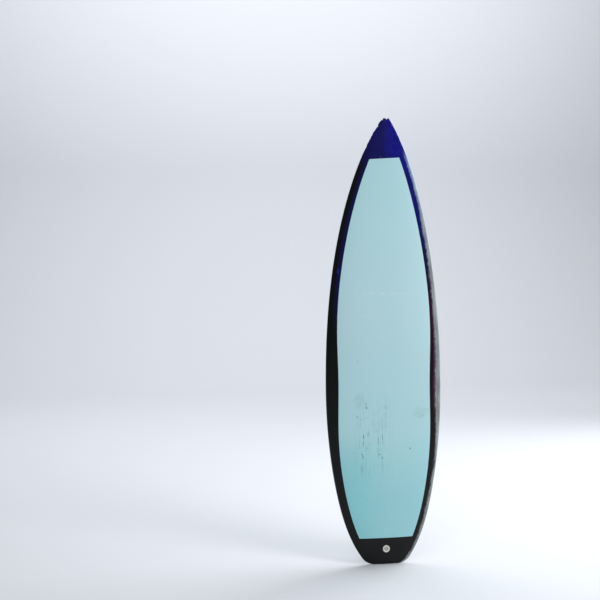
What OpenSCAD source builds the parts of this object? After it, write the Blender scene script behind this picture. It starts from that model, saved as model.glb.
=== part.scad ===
// Shortboard surfboard standing on its tail: nose up +Z, deck toward -Y, bottom toward +Y.
// The origin is where the stringer meets the tail end on the bottom face. Millimetres.

/* [Board] */
// Length from the tail end to the nose tip
board_length = 1880; // [1650:5:2200]
// Width at the wide point
board_width = 495; // [430:1:600]
// Greatest thickness, deck skin to bottom skin
board_thickness = 64; // [50:0.5:78]
// Distance of the wide point from the nose, as a share of the length
wide_share = 0.601; // [0.5:0.001:0.65]
// Full width of the blunt nose tip
tip_width = 18; // [8:1:40]
// Full width of the square tail end before its corners are rounded
tail_width = 163; // [120:1:220]
// Radius of the two tail corners
tail_corner = 25; // [10:1:40]
// How far the nose tip lifts from the flattest part of the bottom
nose_rocker = 125; // [80:1:160]
// How far the tail end lifts from the flattest part of the bottom
tail_rocker = 60; // [30:1:80]
// Thickness at the nose tip
tip_thickness = 11; // [8:0.5:20]
// Thickness at the tail end
tail_thickness = 14; // [10:0.5:25]
// Depth of the concave along the middle of the bottom
concave_depth = 2.5; // [0:0.1:6]

/* [Skins and stringer] */
// Thickness of the glass cloth and resin skins
skin = 1.0; // [0.6:0.1:2]
// Thickness of the wood stringer
stringer_width = 3.2; // [2:0.1:8]
// Width of the dark lap seen on the deck, away from the wide point
lap_width = 36; // [25:1:60]
// Extra lap width at the wide point
lap_extra = 16; // [0:1:30]
// Distance from the nose tip to the straight upper edge of the deck inlay
nose_cut = 170; // [100:1:300]
// Distance from the tail end to the straight lower edge of the deck inlay
tail_cut = 110; // [90:1:200]

/* [Fins] */
// Length of a fin along its base
fin_base = 111; // [95:1:125]
// Depth of a fin out from the bottom
fin_depth = 115; // [90:1:130]
// Thickness of a fin at its base
fin_thick = 7; // [6.5:0.1:9]
// Thickness left along the leading and trailing edges
fin_edge = 0.8; // [0.4:0.1:1.5]
// Trailing edge of the side fins above the tail end
side_fin_up = 279; // [240:1:320]
// Distance from the middle of a side fin's base to the rail
side_fin_rail = 46; // [36:1:60]
// Trailing edge of the centre fin above the tail end
centre_fin_up = 89; // [80:1:120]
// Toe-in of the side fins
toe_angle = 3; // [0:0.5:5]
// Outward lean of the side fins
cant_angle = 6; // [0:0.5:9]
// Gap between a fin's base and the tangent plane of the bottom
fin_seat_gap = 0.2; // [0.1:0.05:0.5]

/* [Fin plugs] */
// Distance between the two plugs of a fin
plug_pitch = 67; // [60:1:75]
// Diameter of a round fin plug
plug_dia = 28; // [26:0.5:32]
// Depth of a fin plug into the board
plug_depth = 16; // [15:0.5:20]
// Length of a fin tab
tab_length = 24; // [20:0.5:25]
// Thickness of a fin tab
tab_thick = 6.2; // [5.5:0.1:6.4]
// Depth of a fin tab below the bottom surface
tab_depth = 13; // [10:0.5:14]
// Clearance on each side of a tab in its slot
tab_clear = 0.1; // [0.05:0.05:0.3]
// Clearance below a tab in its slot
tab_floor_clear = 1.0; // [0.5:0.1:2]

/* [Grub screws] */
// Diameter of a grub screw
screw_dia = 5; // [4:0.5:5]
// Length of a grub screw with its point
screw_length = 8; // [6:0.5:9]
// Length of the conical point
screw_point = 1.5; // [1:0.1:2]
// Tilt of a grub screw toward the tab
screw_tilt = 20; // [10:1:25]
// Depth of the screw head below the plug face
screw_sink = 0.6; // [0.3:0.1:1.5]
// Radial clearance of the screw in its bore
screw_clear = 0.05; // [0.02:0.01:0.1]
// Gap between the screw point and the tab
screw_tip_gap = 0.15; // [0.05:0.05:0.4]
// Width across flats of the hex socket
socket_flats = 2.4; // [1.5:0.1:2.6]
// Depth of the hex socket
socket_depth = 3; // [1.5:0.5:4]

/* [Leash cup] */
// Distance of the leash cup from the tail end
cup_up = 64; // [55:1:70]
// Diameter of the leash cup body
cup_dia = 25; // [22:0.5:28]
// Diameter of the leash cup rim
cup_rim_dia = 29; // [26:0.5:32]
// Thickness of the leash cup rim
cup_rim_thick = 1.2; // [0.8:0.1:2]
// Height of the rim above the deck
cup_rim_proud = 0.4; // [0.2:0.1:1]
// Depth of the leash cup body below the deck
cup_depth = 14; // [12:0.5:15]
// Diameter of the bowl in the cup
bowl_dia = 20.5; // [18:0.5:23]
// Depth of the bowl below the deck
bowl_depth = 12; // [10:0.5:13]
// Diameter of the leash pin
pin_dia = 3.2; // [2.5:0.1:4]
// Length of the leash pin
pin_length = 23; // [21.5:0.5:24]
// Depth of the leash pin's middle below the deck
pin_down = 4; // [3:0.5:6]

/* [Hidden] */
$fn = 48;
L = board_length;
half_w = board_width / 2;
wide_s = wide_share * L;
low_s = 0.5213 * L;
low_z = L - low_s;
st = stringer_width / 2;
tail_share = tail_width / board_width;
fin_inset = fin_thick / 2 - 0.3;

function mix2(a, b, k) = a + (b - a) * k;
function clip(v) = max(0, min(1, v));

// Half width of the outline at height z, with the tail corners rounded off.
function nose_curve(s) = half_w * pow(1 - pow(1 - s / wide_s, 2.15), 0.75)
    + tip_width / 2 * exp(-s / 25);
function tail_drop(x) = (0.8 - tail_share + 0.07) * (0.875 * pow(x, 2.05))
    + (1 - tail_share - (0.87 - tail_share) * 0.875) * pow(x, 8);
function tail_curve(s) = half_w * (1 - tail_drop((s - wide_s) / (L - wide_s)));
function corner_cut(z) = z >= tail_corner ? 0
    : tail_corner - sqrt(pow(tail_corner, 2) - pow(tail_corner - z, 2));
function half_width(z) = let(s = L - z)
    (s < wide_s ? nose_curve(s) : tail_curve(s)) - corner_cut(z);

// Lap of the dark skin onto the deck, widest at the wide point.
function lap(z) = lap_width + lap_extra * exp(-pow((L - z - wide_s) / (0.122 * L), 2));

// Thickness and bottom line along the stringer.
function thickness(z) = z < low_z
    ? mix2(board_thickness, tail_thickness, pow(1 - z / low_z, 2.1))
    : mix2(board_thickness, tip_thickness, pow(clip((z - low_z) / low_s), 1.55));
function bottom_y(z) = tail_rocker - (z < low_z
    ? tail_rocker * pow(1 - z / low_z, 2.2)
    : nose_rocker * pow((z - low_z) / low_s, 2.6));
function bottom_slope(z) = (bottom_y(z + 1) - bottom_y(z - 1)) / 2;

// Cross-section: a rounded deck above the rail's apex, a flat bottom with a tucked edge below it.
function apex_share(z) = 0.22 + 0.2 * clip(z / low_z);
function edge_power(z) = 14 - 9 * clip(z / low_z);
function hollow(z, u) = concave_depth * pow(sin(180 * z / L), 4) * max(0, 1 - pow(u / 0.8, 2));
function deck_rise(u) = pow(max(0, 1 - pow(u, 2.4)), 0.56);
function bottom_drop(z, u) = sqrt(max(0, 1 - pow(u, edge_power(z))));

// One ring point. k runs from the stringer over the deck to the inlay edge at column 4,
// on to the rail's apex at column 9, and back under the board to the stringer at column 16.
inlay_col = 4;
apex_col = 9;
last_col = 16;
function ring_x(k, w, e) = let(edge_a = asin(e / w), foot_a = asin(st / w))
    k <= inlay_col ? mix2(st, e, k / inlay_col)
    : k <= apex_col ? w * sin(mix2(edge_a, 90, (k - inlay_col) / (apex_col - inlay_col)))
    : k == last_col ? st
    : w * sin(mix2(90, foot_a, pow((k - apex_col) / (last_col - apex_col), 1.25)));
function ring_y(k, x, z, w, t, y0) = let(
        a = apex_share(z) * t,
        u = min(1, x / w),
        full = max(0, bottom_drop(z, u)))
    k <= apex_col ? y0 - a - (t - a) * deck_rise(u)
    : y0 - a + a * full - hollow(z, u);
function ring_point(k, z, g) = let(
        w = half_width(z) - g,
        t = thickness(z) - 2 * g,
        e = min(max(half_width(z) - lap(z), 0.45 * w), 0.9 * w),
        x = ring_x(k, w, e),
        zz = min(L - g, max(g, z)))
    [x, ring_y(k, x, z, w, t, bottom_y(z) - g), zz];
function ring(z, g) = concat(
    [for (k = [0:last_col]) ring_point(k, z, g)],
    [for (k = [last_col:-1:0]) let(p = ring_point(k, z, g)) [-p[0], p[1], p[2]]]);

// Heights of the sections.
mid_steps = 26;
stations = concat(
    [for (f = [0, 0.12, 0.34, 0.65, 1]) f * tail_corner],
    [for (f = [0.24, 0.6, 1]) mix2(tail_corner, tail_cut, f)],
    [for (i = [1:mid_steps]) mix2(tail_cut, L - nose_cut, i / mid_steps)],
    [for (f = [0.82, 0.65, 0.5, 0.37, 0.25, 0.155, 0.085, 0.035, 0]) L - f * nose_cut]);
n = len(stations);
m = 2 * last_col + 2;
cut_low = 7;
cut_high = 7 + mid_steps;
outer = [for (z = stations) ring(z, 0)];
inner = [for (z = stations) ring(z, skin)];

function is_inlay(i, j) = i >= cut_low && i < cut_high && (j < inlay_col || j >= m - 1 - inlay_col);
function flat_list(g) = [for (r = g) for (p = r) p];
function mid_point(r) = let(a = r[0], b = r[last_col]) [0, (a[1] + b[1]) / 2, a[2]];
// Two triangles for a cell of the outer grid, or of the inner one with off. turn flips them.
// The left side's diagonals mirror the right side's.
function tri(a, b, c, turn) = turn ? [a, c, b] : [a, b, c];
function cell(i, j, off, turn) = let(
        j2 = (j + 1) % m,
        a = off + i * m + j, b = off + i * m + j2,
        c = off + (i + 1) * m + j2, d = off + (i + 1) * m + j)
    j > last_col ? [tri(a, d, b, turn), tri(b, d, c, turn)]
    : [tri(a, d, c, turn), tri(a, c, b, turn)];

// Walls along the inlay's border, from the outer grid down to the inner grid.
N2 = n * m;
function up_wall(j, turn) = [for (i = [cut_low:cut_high - 1]) let(a = i * m + j, b = a + m)
    each [tri(a, b, b + N2, turn), tri(a, b + N2, a + N2, turn)]];
function side_wall(i, turn) = [for (j = [0:m - 1]) if (is_inlay(cut_low, j))
    let(a = i * m + j, b = i * m + (j + 1) % m)
    each [tri(a, b, b + N2, turn), tri(a, b + N2, a + N2, turn)]];
function border(turn) = concat(
    up_wall(inlay_col, turn), up_wall(m - 1 - inlay_col, !turn),
    side_wall(cut_low, turn), side_wall(cut_high, !turn));

module dark_shell() {
    all = concat(flat_list(outer), flat_list(inner),
        [mid_point(outer[0]), mid_point(inner[0]), mid_point(outer[n - 1]), mid_point(inner[n - 1])]);
    caps = [for (j = [0:m - 1]) let(j2 = (j + 1) % m, top = (n - 1) * m) each [
        [2 * N2, j, j2],
        [2 * N2 + 1, N2 + j2, N2 + j],
        [2 * N2 + 2, top + j2, top + j],
        [2 * N2 + 3, N2 + top + j, N2 + top + j2]]];
    cells = [for (i = [0:n - 2]) for (j = [0:m - 1]) if (!is_inlay(i, j))
        each concat(cell(i, j, 0, false), cell(i, j, N2, true))];
    polyhedron(all, concat(cells, caps, border(true)), convexity = 8);
}

module inlay_solid() {
    all = concat(flat_list(outer), flat_list(inner));
    cells = [for (i = [cut_low:cut_high - 1]) for (j = [0:m - 1]) if (is_inlay(i, j))
        each concat(cell(i, j, 0, false), cell(i, j, N2, true))];
    polyhedron(all, concat(cells, border(false)), convexity = 8);
}

// One foam half: the inner grid's columns on one side, closed at the stringer's face.
module foam_half(side) {
    cols = last_col + 1;
    half = [for (r = inner) [for (k = [0:last_col]) [side * r[k][0], r[k][1], r[k][2]]]];
    lo = mid_point(inner[0]);
    hi = mid_point(inner[n - 1]);
    pts = concat(flat_list(half), [[side * st, lo[1], lo[2]], [side * st, hi[1], hi[2]]]);
    c0 = n * cols;
    c1 = c0 + 1;
    t = side < 0;
    e = last_col;
    skin_faces = [for (i = [0:n - 2]) for (k = [0:e - 1]) let(a = i * cols + k, d = a + cols)
        each [tri(a, d, d + 1, t), tri(a, d + 1, a + 1, t)]];
    ends = [for (k = [0:e - 1]) let(top = (n - 1) * cols + k) each [
        tri(c0, k, k + 1, t), tri(c1, top + 1, top, t)]];
    flat_mid = [for (i = [1:n - 3]) let(a = i * cols, d = a + cols)
        each [tri(a, a + e, d + e, t), tri(a, d + e, d, t)]];
    f0 = cols;
    g0 = (n - 2) * cols;
    h0 = (n - 1) * cols;
    flat_ends = [tri(f0, e, f0 + e, t), tri(f0, c0, e, t), tri(f0, 0, c0, t),
        tri(g0, g0 + e, h0 + e, t), tri(g0, h0 + e, c1, t), tri(g0, c1, h0, t)];
    polyhedron(pts, concat(skin_faces, ends, flat_mid, flat_ends), convexity = 8);
}

// Frames: X' up along the board, Y' across it, Z' out of the surface.
module on_bottom(x, z) {
    slope = atan(bottom_slope(z));
    c = cos(slope);
    s = sin(slope);
    w = half_width(z);
    t = thickness(z);
    y = ring_y(last_col, abs(x), z, w, t, bottom_y(z));
    multmatrix([[0, 1, 0, x], [s, 0, c, y], [c, 0, -s, z], [0, 0, 0, 1]]) children();
}
function deck_y(z) = bottom_y(z) - thickness(z);
module on_deck(z) {
    slope = atan((deck_y(z + 1) - deck_y(z - 1)) / 2);
    c = cos(slope);
    s = sin(slope);
    multmatrix([[0, -1, 0, 0], [s, 0, -c, deck_y(z)], [c, 0, s, z], [0, 0, 0, 1]]) children();
}

// Where each fin stands; side is 1 on the right, -1 on the left and 0 in the middle.
side_z = side_fin_up + fin_base / 2;
centre_z = centre_fin_up + fin_base / 2;
side_x = half_width(side_z) - side_fin_rail;
module at_fin(side) {
    on_bottom(side * side_x, side == 0 ? centre_z : side_z)
        rotate([0, 0, -side * toe_angle]) children();
}
module lean(side) {
    rotate([-side * cant_angle, 0, 0]) children();
}
module at_plug(side, fore) {
    at_fin(side) translate([fore * plug_pitch / 2, 0, 0]) children();
}

// Room for a plug, longer than the plug so that it also clears the skin.
module plug_hole(side, fore) {
    at_plug(side, fore) translate([0, 0, -plug_depth]) cylinder(d = plug_dia, h = plug_depth + 6);
}
module cup_hole() {
    on_deck(cup_up) {
        translate([0, 0, -cup_depth]) cylinder(d = cup_dia, h = cup_depth + 4);
        translate([0, 0, cup_rim_proud - cup_rim_thick]) cylinder(d = cup_rim_dia, h = 6);
    }
}
module middle_holes() {
    plug_hole(0, 1);
    plug_hole(0, -1);
    cup_hole();
}
module side_holes(side) {
    plug_hole(side, 1);
    plug_hole(side, -1);
}

// A bar with round ends, standing on z = 0.
module stadium(length, width, height) {
    run = length - width;
    translate([-run / 2, -width / 2, 0]) cube([run, width, height]);
    for (s = [-1, 1]) translate([s * run / 2, 0, 0]) cylinder(d = width, h = height);
}

// A grub screw's axis starts at its head and runs down toward the tab.
screw_side = tab_thick / 2 + screw_tip_gap + screw_dia / 2 * cos(screw_tilt)
    + (screw_length - screw_point) * sin(screw_tilt);
module screw_axis(side) {
    in = side == 0 ? 1 : -side;
    lean(side) translate([0, in * screw_side, -screw_sink]) rotate([in * -screw_tilt, 0, 0]) children();
}
module grub_screw(side, fore) {
    r = screw_dia / 2;
    at_plug(side, fore) screw_axis(side) difference() {
        rotate_extrude() polygon([[0, 0], [r, 0], [r, -screw_length + screw_point],
            [r - screw_point, -screw_length], [0, -screw_length]]);
        translate([0, 0, -socket_depth])
            cylinder(d = socket_flats / cos(30), h = socket_depth + 1, $fn = 6);
    }
}
module fin_plug(side, fore) {
    at_plug(side, fore) difference() {
        translate([0, 0, -plug_depth]) cylinder(d = plug_dia, h = plug_depth);
        lean(side) translate([0, 0, -tab_depth - tab_floor_clear])
            stadium(tab_length + 2 * tab_clear, tab_thick + 2 * tab_clear, plug_depth);
        screw_axis(side) translate([0, 0, -screw_length])
            cylinder(d = screw_dia + 2 * screw_clear, h = screw_length + 4);
    }
}

// Fin outline by height share, and its foil by chord share from the leading edge.
function lead(h) = fin_base / 2 - fin_base * (1.06 * pow(h, 1.35) + 0.11 * pow(h, 12));
function trail(h) = -fin_base / 2 + fin_base * (0.27 * h * (1 - h) - 0.29 * pow(h, 3));
chords = [0, 0.03, 0.1, 0.2, 0.33, 0.5, 0.68, 0.85, 1];
heights = [-0.03, 0, 0.1, 0.22, 0.35, 0.48, 0.6, 0.71, 0.81, 0.89, 0.95, 0.985, 1];
function bulge(c) = 2.598 * sqrt(c) * (1 - c);
function fin_row(h, side) = let(
        k = max(0, h), a = lead(k), b = trail(k),
        th = fin_thick * (1 - 0.72 * k) - fin_edge,
        flat_y = fin_inset * (1 - 0.72 * k),
        ys = [for (c = chords) side == 0 ? fin_edge / 2 + th / 2 * bulge(c)
            : fin_edge + th * bulge(c) - flat_y],
        yi = [for (c = chords) side == 0 ? -fin_edge / 2 - th / 2 * bulge(c) : -flat_y],
        q = len(chords) - 1)
    concat([for (c = [0:q]) [mix2(a, b, chords[c]), ys[c], h * fin_depth]],
        [for (c = [q:-1:0]) [mix2(a, b, chords[c]), yi[c], h * fin_depth]]);
module foil(side) {
    q = 2 * len(chords);
    rows = [for (h = heights) fin_row(h, side)];
    nr = len(heights);
    sides = [for (i = [0:nr - 2]) for (j = [0:q - 1]) let(
            j2 = (j + 1) % q, a = i * q + j, b = i * q + j2, c = b + q, d = a + q)
        each [[a, c, b], [a, d, c]]];
    half = q / 2 - 1;
    base_cap = [for (j = [0:half - 1]) each [[j, j + 1, q - 2 - j], [j, q - 2 - j, q - 1 - j]]];
    top = (nr - 1) * q;
    tip_cap = [for (j = [0:half - 1]) each [
        [top + j, top + q - 2 - j, top + j + 1], [top + j, top + q - 1 - j, top + q - 2 - j]]];
    polyhedron(flat_list(rows), concat(sides, base_cap, tip_cap), convexity = 6);
}
module fin(side) {
    out = side < 0 ? 1 : 0;
    at_fin(side) difference() {
        lean(side) union() {
            mirror([0, out, 0]) foil(abs(side));
            for (fore = [-1, 1]) translate([fore * plug_pitch / 2, 0, -tab_depth])
                stadium(tab_length, tab_thick, tab_depth + fin_seat_gap + 0.6);
        }
        difference() {
            translate([-fin_base, -20, -8]) cube([2 * fin_base, 40, 8 + fin_seat_gap]);
            lean(side) for (fore = [-1, 1]) translate([fore * plug_pitch / 2, 0, -tab_depth - 1])
                stadium(tab_length + 0.02, tab_thick + 0.02, tab_depth + 8);
        }
    }
}

module foam_left() {
    color([0.93, 0.9, 0.8]) difference() {
        foam_half(-1);
        side_holes(-1);
        middle_holes();
    }
}
module foam_right() {
    color([0.93, 0.9, 0.8]) difference() {
        foam_half(1);
        side_holes(1);
        middle_holes();
    }
}
module stringer() {
    line = concat([for (r = inner) [r[0][1], r[0][2]]],
        [for (i = [n - 1:-1:0]) [inner[i][last_col][1], inner[i][last_col][2]]]);
    color([0.78, 0.6, 0.38]) difference() {
        multmatrix([[0, 0, 1, -st], [1, 0, 0, 0], [0, 1, 0, 0], [0, 0, 0, 1]])
            linear_extrude(height = stringer_width) polygon(line);
        middle_holes();
    }
}
module bottom_laminate() {
    color([0.03, 0.03, 0.2]) difference() {
        dark_shell();
        side_holes(-1);
        side_holes(1);
        middle_holes();
    }
}
module deck_inlay() {
    color([0.6, 0.8, 0.83]) inlay_solid();
}
module leash_cup() {
    color([0.9, 0.9, 0.88]) on_deck(cup_up) difference() {
        union() {
            translate([0, 0, -cup_depth]) cylinder(d = cup_dia, h = cup_depth);
            translate([0, 0, cup_rim_proud - cup_rim_thick]) cylinder(d = cup_rim_dia, h = cup_rim_thick);
        }
        translate([0, 0, -bowl_depth + 3]) cylinder(d = bowl_dia, h = bowl_depth + 3);
        translate([0, 0, -bowl_depth]) cylinder(d1 = bowl_dia - 6, d2 = bowl_dia, h = 3.001);
        translate([0, 0, -pin_down]) rotate([90, 0, 0]) cylinder(d = pin_dia, h = pin_length, center = true);
    }
}
module leash_pin() {
    color([0.75, 0.76, 0.78]) on_deck(cup_up) translate([0, 0, -pin_down]) rotate([90, 0, 0])
        cylinder(d = pin_dia, h = pin_length, center = true);
}
module plug_left_front() { color([0.9, 0.9, 0.88]) fin_plug(-1, 1); }
module plug_left_rear() { color([0.9, 0.9, 0.88]) fin_plug(-1, -1); }
module plug_centre_front() { color([0.9, 0.9, 0.88]) fin_plug(0, 1); }
module plug_centre_rear() { color([0.9, 0.9, 0.88]) fin_plug(0, -1); }
module plug_right_front() { color([0.9, 0.9, 0.88]) fin_plug(1, 1); }
module plug_right_rear() { color([0.9, 0.9, 0.88]) fin_plug(1, -1); }
module screw_left_front() { color([0.7, 0.71, 0.73]) grub_screw(-1, 1); }
module screw_left_rear() { color([0.7, 0.71, 0.73]) grub_screw(-1, -1); }
module screw_centre_front() { color([0.7, 0.71, 0.73]) grub_screw(0, 1); }
module screw_centre_rear() { color([0.7, 0.71, 0.73]) grub_screw(0, -1); }
module screw_right_front() { color([0.7, 0.71, 0.73]) grub_screw(1, 1); }
module screw_right_rear() { color([0.7, 0.71, 0.73]) grub_screw(1, -1); }
module fin_left() { color([0.55, 0.75, 0.8]) fin(-1); }
module fin_centre() { color([0.55, 0.75, 0.8]) fin(0); }
module fin_right() { color([0.55, 0.75, 0.8]) fin(1); }

foam_left();
foam_right();
stringer();
bottom_laminate();
deck_inlay();
leash_cup();
leash_pin();
plug_left_front();
plug_left_rear();
plug_centre_front();
plug_centre_rear();
plug_right_front();
plug_right_rear();
screw_left_front();
screw_left_rear();
screw_centre_front();
screw_centre_rear();
screw_right_front();
screw_right_rear();
fin_left();
fin_centre();
fin_right();
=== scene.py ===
"""Shortboard surfboard: smooth skins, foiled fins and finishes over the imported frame."""
import bpy
import math
import numpy as np
from mathutils import Matrix, Vector


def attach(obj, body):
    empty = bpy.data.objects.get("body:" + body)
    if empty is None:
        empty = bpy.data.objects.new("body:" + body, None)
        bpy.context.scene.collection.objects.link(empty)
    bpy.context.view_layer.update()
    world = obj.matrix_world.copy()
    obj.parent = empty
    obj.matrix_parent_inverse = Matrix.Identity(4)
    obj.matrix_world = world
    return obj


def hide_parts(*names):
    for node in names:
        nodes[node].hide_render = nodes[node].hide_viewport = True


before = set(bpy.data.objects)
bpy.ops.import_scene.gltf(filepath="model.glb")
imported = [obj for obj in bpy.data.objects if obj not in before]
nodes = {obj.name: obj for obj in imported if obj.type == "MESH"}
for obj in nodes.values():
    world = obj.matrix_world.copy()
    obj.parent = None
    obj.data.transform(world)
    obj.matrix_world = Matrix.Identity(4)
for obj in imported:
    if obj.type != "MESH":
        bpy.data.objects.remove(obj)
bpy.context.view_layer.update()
MM = 0.001

# ---------------------------------------------------------------- sizes, in millimetres and degrees
LENGTH, HALF = 1880.0, 247.5
WIDE = 0.601 * LENGTH  # the widest section, down from the nose
LOW = 0.5213 * LENGTH  # the lowest section, down from the nose
LOW_Z = LENGTH - LOW
THICK, NOSE_THICK, TAIL_THICK = 64, 11, 14
NOSE_ROCKER, TAIL_ROCKER = 125, 60
CONCAVE, CONCAVE_REACH = 2.5, 0.8  # the bottom's hollow, and the share of the half width that it covers
RAIL_LOW, RAIL_RISE = 0.22, 0.2  # share of the thickness under the rail's edge at the tail, and what it gains
HARD_EDGE, EASED = 14, 9  # how square the bottom's edge is at the tail, and what it loses further up
TIP_HALF, TIP_FADE = 9, 25  # the blunt tip's half width, and how far down its effect reaches
TAIL_SHARE = 163.0 / 495.0
TAIL_CORNER = 25
INSET = 0.15  # keeps the smooth outline inside the box of the faceted one
END_ROUND = 4.5
STRINGER = 1.6  # half the stringer's width

LAP_WIDTH, LAP_EXTRA = 36, 16  # dark lap on the deck, and its extra width at the widest section
LAP_SPREAD = 0.122 * LENGTH  # how far up and down the board the extra width carries
LEAST_PANEL, MOST_PANEL = 0.45, 0.9  # shares of the half width that the panel keeps between
NOSE_CUT, TAIL_CUT = 170.0, 110.0  # the panel's ends, from the nose and from the tail
TAPE_SKEW, SKEW_REACH = 0.055, 45  # slope of the panel's nose end, and how far from it the rings lean

FIN_BASE, FIN_DEPTH = 111, 115
FIN_THICK, FIN_INSIDE, FIN_EDGE = 7, 3.2, 0.8  # full thickness, the flat side's share of it, and the rims
FIN_SEAT = 0.2  # gap between a fin's base and the board
TOE, CANT = 3, 6
SIDE_FIN_UP, SIDE_FIN_RAIL, CENTRE_FIN_UP = 279, 46, 89  # rear ends above the tail, and in from the rail
TAB_LENGTH, TAB_THICK, TAB_DEPTH = 24, 6.2, 13
TAB_SUNK = 0.6  # how far a tab runs up into the blade
PLUG_PITCH, PLUG_RADIUS, PLUG_DEPTH = 67, 14.0, 16
CUP_UP, CUP_RIM, CUP_RIM_DEPTH = 64.0, 14.5, 8
CUT_OVER = 8  # how far a cutter stands out of the skin

TAIL_GAP, NOSE_GAP = 7.0, 21.0  # the foam and stringer end this far short of the tail and the nose
SLIM_REACH = 200  # they are slimmed over this much of the nose
SLIM_WIDTH, SLIM_THICK, SLIM_SINK = 0.45, 0.4, 2.5  # shares taken off, and how far they move from the bottom


# ---------------------------------------------------------------- board shape
def mix(a, b, k):
    """The value k of the way from a to b."""
    return a + (b - a) * k


def half_width(z):
    """The outline: a blunt nose, a widest section and a squash tail with round corners."""
    s = np.clip(LENGTH - z, 0, LENGTH)
    nose = HALF * (1 - (1 - np.minimum(s, WIDE) / WIDE) ** 2.15) ** 0.75 + TIP_HALF * np.exp(-s / TIP_FADE)
    x = np.clip((s - WIDE) / (LENGTH - WIDE), 0, 1)
    sweep = (0.87 - TAIL_SHARE) * 0.875
    tail = HALF * (1 - sweep * x ** 2.05 - (1 - TAIL_SHARE - sweep) * x ** 8)
    r = np.clip(TAIL_CORNER - z, 0, TAIL_CORNER)
    corner = TAIL_CORNER - np.sqrt(TAIL_CORNER ** 2 - r ** 2)
    return np.where(s < WIDE, nose, tail) - corner - INSET


def lap(z):
    """Width of the dark lap on the deck."""
    return LAP_WIDTH + LAP_EXTRA * np.exp(-(((LENGTH - z - WIDE) / LAP_SPREAD) ** 2))


def tape_edge(z, w):
    """Where the taped line runs, out from the stringer, on a section of half width w."""
    return np.clip(w - lap(z), LEAST_PANEL * w, MOST_PANEL * w)


def from_lowest(z):
    """How far z lies from the lowest section: 0 to 1 at the tail, and 0 to 1 at the nose."""
    return np.clip(1 - z / LOW_Z, 0, 1), np.clip((z - LOW_Z) / LOW, 0, 1)


def thickness(z):
    """Thickness at the stringer, thinned towards both ends."""
    tail, nose = from_lowest(z)
    return np.where(z < LOW_Z, mix(THICK, TAIL_THICK, tail ** 2.1), mix(THICK, NOSE_THICK, nose ** 1.55))


def bottom_y(z):
    """The bottom's rocker line."""
    tail, nose = from_lowest(z)
    return TAIL_ROCKER - np.where(z < LOW_Z, TAIL_ROCKER * tail ** 2.2, NOSE_ROCKER * nose ** 2.6)


def deck_y(z):
    """The deck's line at the stringer."""
    return bottom_y(z) - thickness(z)


def rail_drop(z, t):
    """How far the rail's outermost line lies from the bottom: closest at the tail."""
    return (RAIL_LOW + RAIL_RISE * np.clip(z / LOW_Z, 0, 1)) * t


def section_y(x, z, w, t, y0, deck):
    """Height of the deck or of the bottom at x, on a section of half width w and thickness t.

    The bottom's edge is hard at the tail and round from the lowest section on.
    """
    square = HARD_EDGE - EASED * np.clip(z / LOW_Z, 0, 1)
    a = rail_drop(z, t)
    u = np.minimum(1, np.abs(x) / w)
    hollow = CONCAVE * np.sin(np.pi * np.clip(z / LENGTH, 0, 1)) ** 4
    hollow = hollow * np.maximum(0, 1 - (u / CONCAVE_REACH) ** 2)
    under = y0 - a + a * np.sqrt(np.maximum(0, 1 - u ** square)) - hollow
    return np.where(deck, y0 - a - (t - a) * np.maximum(0, 1 - u ** 2.4) ** 0.56, under)


# Columns of faces on one half of the board: on its deck panel, round its rail and under its bottom
DECK_COLS, RAIL_COLS, FOOT_COLS = ((16, 22, 40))


def side_columns(w, e):
    """Distances from the stringer along deck, rail and bottom, with the deck flag of each."""
    edge, foot = np.arcsin(e / w), np.arcsin(STRINGER / w)
    deck = [mix(STRINGER, e, k / DECK_COLS) for k in range(DECK_COLS + 1)]
    rail = [w * np.sin(mix(edge, np.pi / 2, (k / RAIL_COLS) ** 0.8)) for k in range(1, RAIL_COLS + 1)]
    under = [w * np.sin(mix(np.pi / 2, foot, (k / FOOT_COLS) ** 1.6)) for k in range(1, FOOT_COLS + 1)]
    return deck + rail + under, [True] * (len(deck) + len(rail)) + [False] * len(under)


def rounding(z, r):
    """How far the skin pulls in close to a flat end, so that the end's edge is rounded."""
    d = np.clip(r - np.minimum(z, LENGTH - z), 0, r)
    return r - np.sqrt(r * r - d * d)


def ring(z0, tilt):
    """One closed ring round the board. tilt leans it, so that the taped edge can run a little askew."""
    w0, g = float(half_width(z0)), float(rounding(z0, END_ROUND))
    xs, decks = side_columns(w0, float(tape_edge(z0, w0)))
    sides = []
    for side in (1, -1):
        half = []
        for k, (x, deck) in enumerate(zip(xs, decks)):
            z = z0 + tilt * side * x
            w = float(half_width(z)) - g
            out = side_columns(w, float(tape_edge(z, w)))[0][k] if tilt else x * w / w0
            y = section_y(out, z, w, float(thickness(z)) - 2 * g, float(bottom_y(z)) - g, deck)
            half.append((side * float(out), float(y), float(z)))
        sides.append(half)
    return sides[0] + sides[1][::-1]


def station_heights():
    """Heights of the rings, closest at both ends, and the first and last ring of the deck panel."""
    corner = [TAIL_CORNER * (k / 14) ** 1.7 for k in range(14)]
    tail = corner + [mix(TAIL_CORNER, TAIL_CUT, k / 10) for k in range(10)]
    steps = 170
    middle = [mix(TAIL_CUT, LENGTH - NOSE_CUT, k / steps) for k in range(steps)]
    nose = [LENGTH - NOSE_CUT * (1 - k / 60) ** 1.5 for k in range(60)] + [LENGTH]
    return tail + middle + nose, len(tail), len(tail) + steps


# ---------------------------------------------------------------- the broken nose
TIP_LOST, LEAST_LOST = 4.2, 0.4  # what is gone from the tip all the way across, and the least anywhere
NOTCH_X, NOTCH_HALF, NOTCH_DEPTH = 4.5, 2.5, 6.5
SHOULDER = -9  # the left shoulder is broken away beyond this x
RAGGED, RAGGED_X = 170, -3  # the edge is ragged this far down from the tip, beyond this x
SAMPLES = 400
RUN_START = -45  # a jagged run across the tip starts at this x
ACROSS, ALONG = 4.4, 2.3  # samples to a millimetre, across the tip and down the edge


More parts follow.
